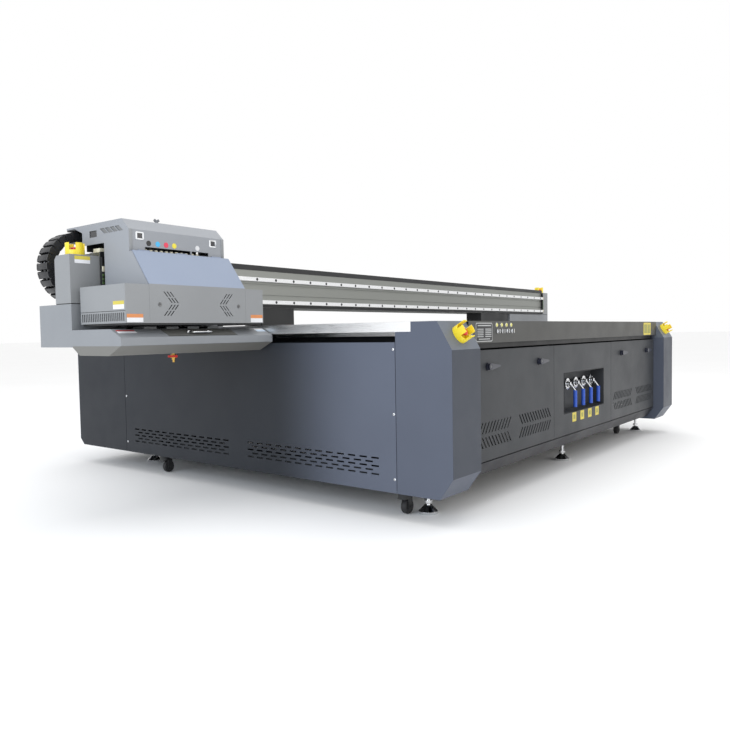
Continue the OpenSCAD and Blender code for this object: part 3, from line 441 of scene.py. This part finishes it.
def facing(point, direction, up=(0, 0, 1)):
    """A place whose Z looks along direction, and whose Y is as near to up as it can be."""
    z = Vector(direction).normalized()
    x = Vector(up).cross(z).normalized()
    y = z.cross(x)
    turn = Matrix((x, y, z)).transposed().to_4x4()
    return Matrix.Translation(Vector(point)) @ turn


def add_rim(bm, outer, inner, place, depth):
    """A flat rim between two outlines that have as many points as each other."""
    count = len(outer)
    for k in range(count):
        after = (k + 1) % count
        add_prism(bm, [outer[k], outer[after], inner[after], inner[k]], place, depth)


def piece(name, body, material, build):
    """Makes one mesh piece from build(bm), with its finish, and puts it on a body."""
    bm = bmesh.new()
    build(bm)
    bmesh.ops.remove_doubles(bm, verts=bm.verts, dist=1e-4)
    bmesh.ops.recalc_face_normals(bm, faces=bm.faces)
    for face in bm.faces:
        face.smooth = True
    for edge in bm.edges:
        if len(edge.link_faces) == 2 and edge.calc_face_angle(0) > math.radians(34):
            edge.smooth = False
    bmesh.ops.scale(bm, vec=(MM, MM, MM), verts=bm.verts)
    mesh = bpy.data.meshes.new(name)
    bm.to_mesh(mesh)
    bm.free()
    made = bpy.data.objects.new(name, mesh)
    bpy.context.scene.collection.objects.link(made)
    made.data.materials.append(material)
    if body:
        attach(made, body)
    return made


FRONT, LEFT, UP = (0, -1, 0), (-1, 0, 0), (0, 0, 1)


# ---- Base details ----

half_w, back_y, door_y, fascia_y, table_z = 1800, 1525, -1445, -1465, 928
front_place = facing((0, fascia_y, 0), FRONT)
door_place = facing((0, door_y, 0), FRONT)
dome = [(0, 2.6), (4, 2.3), (6.6, 0.8), (7, 0), (7, -0.4)]
hexagon = [(0, 3.0), (2.6, 3.0), (2.6, 2.2)]
seams = ((-1208, (801, 499, 192)), (947, (801, 491, 191)))


def seam_screws(bm, profile, sides):
    """The screws, or only their sockets, along the seams of both side covers."""
    for side in (-1, 1):
        for y, heights in seams:
            for z in heights:
                add_turned(bm, profile, facing((side * half_w, y, z), (side, 0, 0)), sides)


def cover_screws(bm):
    seam_screws(bm, dome, 16)
    for x in range(-1740, 1741, 870):
        for z in (200, 860):
            add_turned(bm, dome, facing((x, back_y, z), (0, 1, 0)), 16)


piece("cover_screws", "base", chrome, cover_screws)
piece("cover_screw_sockets", "base", black, lambda bm: seam_screws(bm, hexagon, 6))

plate_x0, plate_x1, plate_z0, plate_z1 = -1479, -1311, 827, 919
plate_border = 4


def plate_rim(bm):
    add_prism(bm, rounded_rect(plate_x0, plate_x1, plate_z0, plate_z1, 10), front_place, 1.2, 0.3)


def plate_field(bm):
    outline = rounded_rect(
        plate_x0 + plate_border, plate_x1 - plate_border,
        plate_z0 + plate_border, plate_z1 - plate_border, 8,
    )
    add_prism(bm, outline, front_place, 1.7, 0.2)


def plate_rows(bm):
    """Plain bars: two columns of five, one bar above them and one below."""
    bar_l, bar_h, bar_pitch, first_z = 62, 4, 9, 850
    for x in (-1466, -1386):
        for row in range(5):
            z = first_z + row * bar_pitch
            add_prism(bm, rounded_rect(x, x + bar_l, z, z + bar_h, 1.5), front_place, 2.0)
    add_prism(bm, rounded_rect(-1462, -1328, 903, 908, 2), front_place, 2.0)
    add_prism(bm, rounded_rect(-1452, -1338, 838, 842, 2), front_place, 2.0)


piece("control_plate_rim", "base", plate_grey, plate_rim)
piece("control_plate_field", "base", plate_black, plate_field)
piece("control_plate_rows", "base", plate_grey, plate_rows)

lamp_x = [-1265 + 53 * i for i in range(4)]
lamp_z = 908
bezel = [(9.2, 0), (11.2, 0), (11.2, 1.6), (10.6, 2.4), (9.6, 2.4), (9.2, 1.8), (9.2, 0)]
lens = [(9.4, 0), (9.4, 3), (8, 5), (4.5, 6.6), (0, 7.2)]


def at_lamps(bm, profile):
    for x in lamp_x:
        add_turned(bm, profile, facing((x, fascia_y, lamp_z), FRONT), 28)


piece("lamp_bezels", "base", chrome, lambda bm: at_lamps(bm, bezel))
piece("lamp_lenses", "base", lens_yellow, lambda bm: at_lamps(bm, lens))

label_x = [18 + 135 * (i - 1.5) for i in range(4)]


def plain_labels(bm):
    add_prism(bm, rounded_rect(1200, 1388, 824, 920, 5), front_place, 0.6)
    for x in label_x:
        add_prism(bm, rounded_rect(x - 32, x + 32, 300, 358, 4), door_place, 0.6)


def label_fields(bm):
    for x0, x1 in ((1214, 1290), (1304, 1374)):
        add_prism(bm, rounded_rect(x0, x1, 838, 906, 3), front_place, 1.0)
    for x in label_x:
        add_prism(bm, rounded_rect(x - 15, x + 15, 316, 343, 3), door_place, 1.0)


piece("plain_labels", "base", sticker_yellow, plain_labels)
piece("label_fields", "base", sticker_olive, label_fields)

valve_x = [32 + 137 * (i - 1.5) for i in range(4)]
valve_z, flange_y, bolt_circle = 535, -1399, 28.5
recess_x, recess_z0, recess_z1, recess_rim = 347, 367, 608, 5


def valve_discs(bm):
    for x in valve_x:
        disc = [(0, 1.2), (19, 1.2), (20, 0.4), (20, 0)]
        add_turned(bm, disc, facing((x, flange_y, valve_z), FRONT), 40)


def valve_bolts(bm):
    for x in valve_x:
        for k in range(4):
            t = math.radians(45 + 90 * k)
            point = (x + bolt_circle * math.cos(t), flange_y + 0.1, valve_z + bolt_circle * math.sin(t))
            add_turned(bm, [(0, 2.2), (3.4, 2.2), (4, 1.4), (4, 0)], facing(point, FRONT), 6)


def corners(x, z0, z1):
    return [(-x, z0), (x, z0), (x, z1), (-x, z1)]


def recess_frame(bm):
    inner = corners(recess_x, recess_z0, recess_z1)
    outer = corners(recess_x + recess_rim, recess_z0 - recess_rim, recess_z1 + recess_rim)
    add_rim(bm, outer, inner, door_place, 0.8)


piece("valve_discs", "base", plate_black, valve_discs)
piece("valve_bolts", "base", chrome, valve_bolts)
piece("recess_frame", "base", door, recess_frame)

latch_x = (-1326, -718, 718, 1326)
latch_z, boss_y = 702, door_y - 21.5


def latch_lock(bm, x):
    face = [(0, 0.8), (5.2, 0.8), (6, 0.2), (6, -0.5)]
    add_turned(bm, face, facing((x, boss_y, latch_z), FRONT), 24)
    add_block(bm, (x - 0.9, boss_y - 1.5, latch_z - 4), (x + 0.9, boss_y - 0.6, latch_z + 4), 0.2)


for number, x in enumerate(latch_x, start=1):
    piece(f"latch_lock_{number}", f"latch_{number}", lock_metal, lambda bm: latch_lock(bm, x))


def bed_lines(bm):
    """Thin dark lines between the suction zones."""
    low, high, half_line = table_z - 0.2, table_z + 0.4, 1.5
    for x in range(-1200, 1201, 600):
        add_block(bm, (x - half_line, -1300, low), (x + half_line, 1400, high), 0)
    for y in (-1270, -630, 10, 650, 1370):
        add_block(bm, (-1760, y - half_line, low), (1760, y + half_line, high), 0)


def bed_screws(bm):
    flat = [(0, 0.9), (3.4, 0.8), (6, 0.5), (7, 0)]
    for x in range(-1750, 1751, 250):
        for y in (-1290, 1390):
            add_turned(bm, flat, facing((x, y, table_z), UP, (0, 1, 0)), 16)


piece("bed_lines", "base", black, bed_lines)
piece("bed_screws", "base", chrome, bed_screws)


# ---- Gantry details ----

beam_y, rail_y = -31, -51
rail_zs = (1073, 1206)
beam_end = 2543


def add_end_blocks(bm, near, far, low, high, bevel):
    """The same block at both ends, from near to far of the middle. low and high are its Y and Z."""
    for side in (-1, 1):
        x0, x1 = sorted((side * near, side * far))
        add_block(bm, (x0, *low), (x1, *high), bevel)


def rail_bolts(bm):
    bolt = [(0, 0.35), (6.2, 0.35), (7.2, 0.5), (8.5, 0.4), (8.5, -0.5)]
    for z in rail_zs:
        for x in range(-2480, 2481, 155):
            add_turned(bm, bolt, facing((x, rail_y, z), FRONT), 16)


def rail_ends(bm):
    for z in rail_zs:
        add_end_blocks(bm, beam_end - 2, beam_end + 11, (-53, z - 13), (beam_y - 1, z + 13), 1.5)


def end_plates(bm):
    add_end_blocks(bm, beam_end, beam_end + 12, (-49, 1046), (beam_y - 1, 1262), 2)


def end_terminals(bm):
    for k in range(5):
        z = 1098 + 18 * k
        add_end_blocks(bm, beam_end, beam_end + 11.5, (-52, z), (-48.5, z + 12), 1)


def beam_foot_strip(bm):
    add_block(bm, (-2540, beam_y - 3, 1041), (2540, beam_y - 0.4, 1059), 0.3)


def sensor_box(bm):
    add_block(bm, (-2550, -25, 1287.5), (-2482, 30, 1308), 2)


def post_feet(bm):
    """A dark joint line where each end post stands on its console."""
    add_end_blocks(bm, 2553, 2706.5, (-30.5, 1037.2), (103.5, 1040.6), 0)


def console_screws(bm):
    screw = [(0, 2), (4, 1.8), (6, 0.6), (6.2, -0.4)]
    for side in (-1, 1):
        for y in (0, 230):
            for z in (860, 1015):
                add_turned(bm, screw, facing((side * 2704.8, y, z), (side, 0, 0)), 16)


piece("rail_bolts", "gantry", black, rail_bolts)
piece("rail_end_blocks", "gantry", cream, rail_ends)
piece("end_plates", "gantry", black, end_plates)
piece("beam_foot_strip", "gantry", black, beam_foot_strip)
piece("sensor_box", "gantry", cream, sensor_box)
piece("end_terminals", "gantry", board_green, end_terminals)
piece("post_feet", "gantry", black, post_feet)
piece("console_screws", "gantry", chrome, console_screws)

handle_x, handle_z, handle_half = -2258, 898, 58
half_bow = [(58, -379), (58, -400), (57, -407), (53, -410.4), (46, -411)]


def bow_handle(bm):
    bow = [(handle_x - x, y, handle_z) for x, y in half_bow]
    bow += [(handle_x + x, y, handle_z) for x, y in reversed(half_bow)]
    add_tube(bm, bow, 4.9, 16)


def handle_rosettes(bm):
    rosette = [(4.9, 0), (9, 0), (9, 2), (7.5, 3), (4.9, 3)]
    for x in (handle_x - handle_half, handle_x + handle_half):
        add_turned(bm, rosette, facing((x, -383, handle_z), FRONT), 24)


piece("drawer_handle", "drawer", chrome, bow_handle)
piece("handle_rosettes", "drawer", chrome, handle_rosettes)


# ---- Plain stickers ----

def sticker(name, body, place, size, colours, split=0.45):
    """A plain two-tone sticker: its lower field and the band along its top."""
    w, h = size
    edge = h * (1 - split)
    for part, ((z0, z1), (material, slot)) in enumerate(zip(((0, edge), (edge, h)), colours), start=1):
        outline = [(0, z0), (w, z0), (w, z1), (0, z1)]
        piece(f"{name}_{part}", body, material, lambda bm: add_prism(bm, outline, place, 0.5))


def on_lip(x):
    """A place on the console's sloping lip."""
    return facing((x, -384, 896.5), (0, -38, 80), (0, 80, 38))


plain = (sticker_white, "cabinet_paint")
yellow_band = (sticker_yellow, "yellow_plastic")
orange_band = (sticker_orange, "yellow_plastic")
red_band = (sticker_red, "red_plastic")
blue_field = (sticker_blue, "blue_plastic")
sticker("post_sticker", "gantry", facing((-2682, beam_y, 1228), FRONT), (78, 34), (plain, yellow_band), 0.5)
sticker("wing_side_sticker", "carriage", facing((-2680, -331, 1002), LEFT), (84, 36), (plain, yellow_band))
sticker("wing_left_sticker", "carriage", facing((-2675, -425, 944), FRONT), (82, 36), (plain, orange_band))
sticker("wing_right_sticker", "carriage", facing((-1955, -425, 944), FRONT), (82, 38), (plain, orange_band))
sticker("lip_left_sticker", "gantry", on_lip(-2690), (92, 30), (plain, red_band), 0.35)
sticker("lip_right_sticker", "gantry", on_lip(-1874), (64, 32), (blue_field, plain), 0.3)


# ---- Carriage details ----

car_x0, car_x1, hood_x0, cabinet_x1 = -2680, -1868, -2558, -2002
car_y0, brow_y = -425, -282
brow_place = facing((0, brow_y, 0), FRONT)
ink_places = {"black": -2453, "cyan": -2403, "magenta": -2356, "yellow": -2309, "white": -2170}
mark = [(0, 0.6), (12.4, 0.6), (13, 0)]
for ink, x in ink_places.items():
    piece(f"ink_mark_{ink}", "carriage", inks[ink],
          lambda bm: add_turned(bm, mark, facing((x, brow_y, 1315), FRONT), 32))

window_x = (-2501, -2073)


def window_frames(bm):
    for x in window_x:
        outer = rounded_rect(x - 22, x + 22, 1328, 1364, 4, 3)
        inner = rounded_rect(x - 14, x + 14, 1334, 1358, 2, 3)
        add_rim(bm, outer, inner, brow_place, 2.0)


def window_panes(bm):
    for x in window_x:
        add_block(bm, (x - 14.8, brow_y - 0.5, 1333.2), (x + 14.8, brow_y + 1.5, 1358.8), 0)
    add_block(bm, (hood_x0 + 3, -17, 1363), (hood_x0 + 4.5, 42, 1390), 0)


def bottle_caps(bm):
    """Caps of the bottle necks: nine in the long slot and two in the short one."""
    cap = [(8, 0), (8, 10), (6.5, 12), (0, 12.5)]
    for first, count in ((-2458, 9), (-2188, 2)):
        for k in range(count):
            add_turned(bm, cap, facing((first + 29 * k, -262, 1276), UP, (0, 1, 0)), 16)


def cabinet_flanges(bm):
    for x0, x1 in ((hood_x0 + 0.2, hood_x0 + 17), (cabinet_x1 - 16.8, cabinet_x1)):
        add_block(bm, (x0, brow_y - 2.2, 1275.5), (x1, brow_y + 0.5, 1374), 0.4)


def wing_seams(bm):
    for x0, x1 in ((car_x0 - 0.4, car_x0 + 2), (car_x1 - 2, car_x1 + 0.4)):
        add_block(bm, (x0, -423, 993), (x1, -67, 995.5), 0)


def louvre_backs(bm):
    outline = [(-250, 1371), (-86, 1366), (-44, 1399), (-229, 1402)]
    along_y = Matrix(((0, 0, 1, 0), (1, 0, 0, 0), (0, 1, 0, 0), (0, 0, 0, 1)))
    add_prism(bm, outline, Matrix.Translation((hood_x0 + 3.5, 0, 0)) @ along_y, 1.2)


def carriage_skirt_and_shade(bm):
    """A black skirt under the casing, at its front and both sides: partly a real skirt, partly a dark sheet
    standing in for the shade in the gap under the casing.
    """
    x0, x1, low, high = car_x0 + 8, car_x1 - 8, 931, 941.5
    add_block(bm, (x0, -417, low), (x1, -414, high), 0.3)
    for x in (x0, x1 - 3):
        add_block(bm, (x, -414.5, low), (x + 3, -72, high), 0.3)


def roof_seal(bm):
    add_block(bm, (hood_x0 + 1, 112, 1409.5), (cabinet_x1 - 3, 249, 1417.3), 0.5)


def bracket_shade_web(bm):
    """A black web under the bracket that reaches over the beam to the cable chain: a dark sheet standing in
    for the shade below the arm.
    """
    add_block(bm, (-2540, 100, 1300), (-2030, 104, 1347.5), 0.5)


piece("window_frames", "carriage", white, window_frames)
piece("window_panes", "carriage", bottle, window_panes)
piece("bottle_caps", "carriage", cream, bottle_caps)
piece("cabinet_flanges", "carriage", gantry, cabinet_flanges)
piece("wing_seams", "carriage", black, wing_seams)
piece("louvre_backs", "carriage", mesh_grey, louvre_backs)
piece("carriage_skirt_and_shade", "carriage", black, carriage_skirt_and_shade)
piece("roof_seal", "carriage", black, roof_seal)
piece("bracket_shade_web", "saddle", black, bracket_shade_web)

lock_x, lock_z = (-2504, -2036), 1024


def hood_locks(bm):
    profile = [(0, 2.2), (6, 2.2), (7.5, 2.6), (9, 1.8), (9.4, 0), (9.4, -0.5)]
    for x in lock_x:
        add_turned(bm, profile, facing((x, car_y0, lock_z), FRONT), 28)


def lock_slits(bm):
    for x in lock_x:
        add_block(bm, (x - 5, car_y0 - 3, lock_z - 1), (x + 5, car_y0 - 2, lock_z + 1), 0)


piece("hood_locks", "hood", lock_metal, hood_locks)
piece("hood_lock_slits", "hood", black, lock_slits)


# ---- Cable chain ----

chain_x, chain_z, chain_y0, chain_y1 = -2522, 1229, 190, 290
chain_mid_r, chain_half = 153, 25
chain_top_z, chain_low_z = chain_z + chain_mid_r, chain_z - chain_mid_r
chain_fixed_x = 0
bend_count, top_count, low_count = 13, 5, 62
link_fill = 0.97


def add_link(bm, place, length):
    """One chain link: two waisted side plates joined by a bar above and a bar below. X is along the chain."""
    half, tall = length / 2, chain_half - 0.4
    waist, plate_w = tall * 0.9, 7
    outline = [(-half, -waist), (-half * 0.5, -tall), (half * 0.5, -tall), (half, -waist),
               (half, waist), (half * 0.5, tall), (-half * 0.5, tall), (-half, waist)]
    for y in (chain_y0 + 0.2, chain_y1 - plate_w - 0.2):
        flat = place @ Matrix.Translation((0, y, 0)) @ Matrix.Rotation(math.radians(-90), 4, "X")
        add_prism(bm, outline, flat, plate_w, 0.8)
    for z0, z1 in ((-tall + 0.6, -tall + 5), (tall - 5, tall - 0.6)):
        start = len(bm.verts)
        low = (-half * 0.84, chain_y0 + plate_w - 0.5, z0)
        high = (half * 0.84, chain_y1 - plate_w + 0.5, z1)
        add_block(bm, low, high, 0.8)
        bm.verts.ensure_lookup_table()
        bmesh.ops.transform(bm, matrix=place, verts=bm.verts[start:])


def bend_place(angle):
    """The place on the bend's middle line, angle degrees round from the top."""
    t = math.radians(90 + angle)
    spot = Vector((chain_x + chain_mid_r * math.cos(t), 0, chain_z + chain_mid_r * math.sin(t)))
    return Matrix.Translation(spot) @ Matrix.Rotation(-math.radians(angle) + math.pi, 4, "Y")


def hose_points(run, dz):
    """The line of one hose: along the top run, round the bend, or along the lower run."""
    if run == "top":
        return [(x, chain_top_z + dz) for x in range(chain_x, chain_x + 203, 20)]
    if run == "low":
        steps = 60
        length = chain_fixed_x - chain_x
        return [(chain_x + length * k / steps, chain_low_z - dz) for k in range(steps + 1)]
    radius, steps = chain_mid_r + dz, 36
    turns = [math.radians(90 + 180 * k / steps) for k in range(steps + 1)]
    return [(chain_x + radius * math.cos(t), chain_z + radius * math.sin(t)) for t in turns]


def add_hoses(bm, run):
    for y, dz, radius in ((207, 4, 8), (226, -5, 9), (245, 5, 8), (262, -4, 9), (277, 6, 6)):
        add_tube(bm, [(x, y, z) for x, z in hose_points(run, dz)], radius, 10)


def bend_links(bm):
    arc = math.pi * chain_mid_r / bend_count
    for k in range(bend_count):
        add_link(bm, bend_place(180 * (k + 0.5) / bend_count), arc * link_fill)


def add_straight_links(bm, x0, length, count, z):
    step = length / count
    for k in range(count):
        add_link(bm, Matrix.Translation((x0 + step * (k + 0.5), 0, z)), step * link_fill)


def top_links(bm):
    add_straight_links(bm, chain_x + 0.2, 202, top_count, chain_top_z)


def low_links(bm):
    add_straight_links(bm, chain_x + 0.5, 2521.5, low_count, chain_low_z)


bend = piece("chain_bend_links", "chain_bend", chain_black, bend_links)
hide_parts("chain_bend")
piece("chain_bend_hoses", "chain_bend", hose, lambda bm: add_hoses(bm, "bend"))

for name, build, material in (
    ("chain_top_links", top_links, chain_black),
    ("chain_top_hoses", lambda bm: add_hoses(bm, "top"), hose),
):
    strand = piece(name, None, material, build)
    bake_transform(strand)
    if name == "chain_top_links":
        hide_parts("chain_upper_run")

for name, build, material in (
    ("chain_low_links", low_links, chain_black),
    ("chain_low_hoses", lambda bm: add_hoses(bm, "low"), hose),
):
    strand = piece(name, "gantry", material, build)
    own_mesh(strand)
    if name == "chain_low_links":
        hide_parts("chain_lower_run")


# ---- Stage, light and camera ----

floor_reach = 120
floor_corners = [(x * floor_reach, y * floor_reach, 0) for x, y in ((-1, -1), (1, -1), (1, 1), (-1, 1))]
floor_mesh = bpy.data.meshes.new("floor")
floor_mesh.from_pydata(floor_corners, [], [(0, 1, 2, 3)])
floor = bpy.data.objects.new("floor", floor_mesh)
bpy.context.scene.collection.objects.link(floor)
floor_finish = Finish("floor_pale")
floor_finish.feed(
    floor_finish.shader.inputs["Base Color"],
    floor_finish.mix(floor_finish.noise(0.6, 2), linear(246, 246, 246), linear(250, 250, 250)),
)
floor_finish.shader.inputs["Roughness"].default_value = 0.9
floor_finish.shader.inputs["Specular IOR Level"].default_value = 0.1
floor_mesh.materials.append(floor_finish.material)

world = bpy.data.worlds.new("studio")
bpy.context.scene.world = world
world.use_nodes = True
background = world.node_tree.nodes["Background"]
background.inputs["Color"].default_value = (1.0, 1.0, 1.0, 1.0)
background.inputs["Strength"].default_value = 1.0


def area_light(name, place, target, size, power, colour):
    data = bpy.data.lights.new(name, "AREA")
    data.shape = "RECTANGLE"
    data.size, data.size_y = size
    data.energy = power
    data.color = colour
    lamp = bpy.data.objects.new(name, data)
    bpy.context.scene.collection.objects.link(lamp)
    lamp.location = place
    lamp.rotation_euler = (Vector(target) - Vector(place)).to_track_quat("-Z", "Y").to_euler()
    lamp.visible_camera = False


area_light("left_key", (-9, -1.5, 3.2), (-1.8, 0, 0.8), (7, 4), 260, (0.78, 0.88, 1.0))
area_light("front_fill", (0.5, -9, 2.4), (0.3, -1.4, 0.6), (8, 3), 110, (1.0, 0.97, 0.92))
area_light("top_soft", (0, -1, 7), (0, 0, 1), (8, 6), 160, (1.0, 1.0, 1.0))

camera_place = (-4.4148, -3.0843, 0.8836)
yaw, pitch_down, roll = math.radians(52.027), math.radians(2.7154), math.radians(-0.9696)
camera_data = bpy.data.cameras.new("camera")
camera_data.sensor_width = 36
camera_data.lens = 34.23
camera_data.clip_end = 400
camera = bpy.data.objects.new("camera", camera_data)
bpy.context.scene.collection.objects.link(camera)
level = math.cos(pitch_down)
forward = Vector((math.sin(yaw) * level, math.cos(yaw) * level, -math.sin(pitch_down)))
right = Vector((math.cos(yaw), -math.sin(yaw), 0))
above = right.cross(forward)
right_rolled = math.cos(roll) * right + math.sin(roll) * above
above_rolled = -math.sin(roll) * right + math.cos(roll) * above
turn = Matrix((right_rolled, above_rolled, -forward)).transposed().to_4x4()
camera.matrix_world = Matrix.Translation(camera_place) @ turn
bpy.context.scene.camera = camera
bpy.context.scene.view_settings.view_transform = "Standard"
